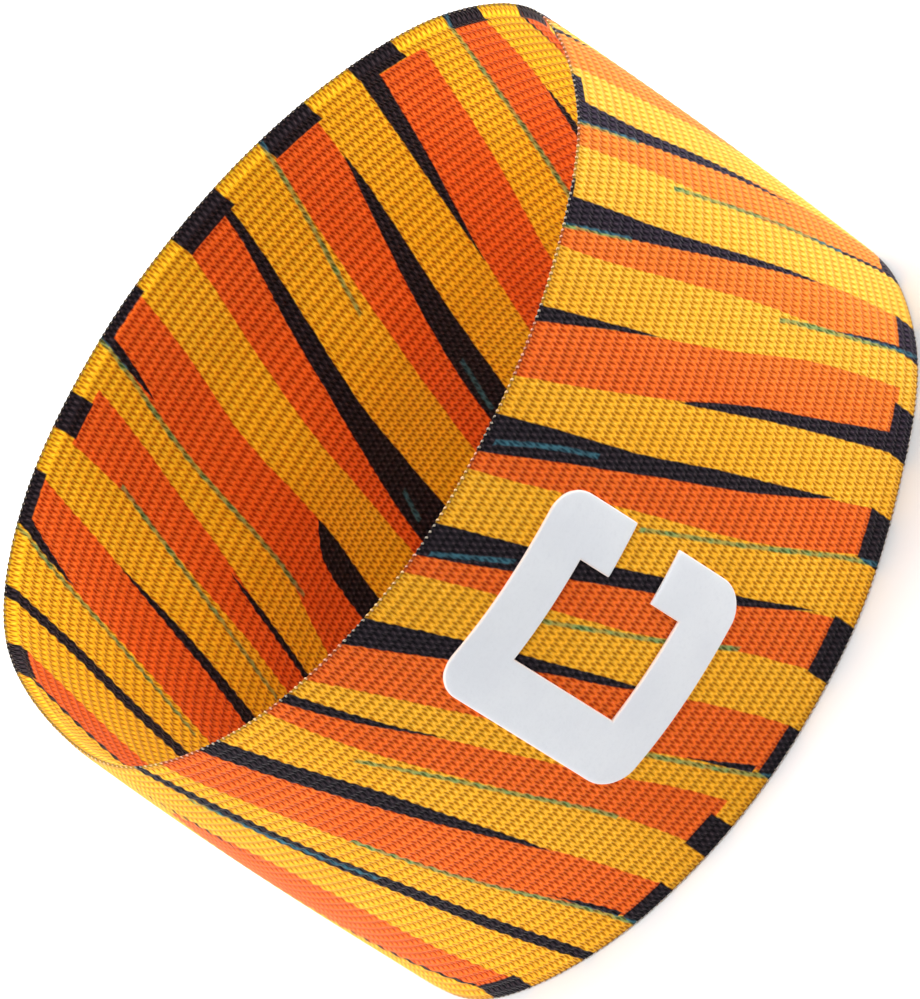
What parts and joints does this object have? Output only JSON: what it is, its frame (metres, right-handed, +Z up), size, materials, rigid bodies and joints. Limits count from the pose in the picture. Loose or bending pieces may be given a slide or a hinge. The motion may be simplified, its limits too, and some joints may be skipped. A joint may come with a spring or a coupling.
{
  "type": "captain armband",
  "caption": "Team captain's armband: a closed elastic knit loop with slanted stripes and a raised white letter C, standing on its edge.",
  "frame": {"origin": "the middle of the armband's bounding box at the level it stands on", "axes": "+Z up the loop's axis, from the lower edge to the upper edge; +X along the oval's long way, towards its narrower end; -Y towards the face with the letter"},
  "size_m": [0.125, 0.0906, 0.075],
  "materials": {
    "knit": "matte ribbed elastic knit, printed with amber, orange and black slanted stripes",
    "transfer_film": "smooth matte white heat-transfer film"
  },
  "bodies": {
    "root": {"band": "knit", "captain_letter": "transfer_film"}
  },
  "joints": []
}
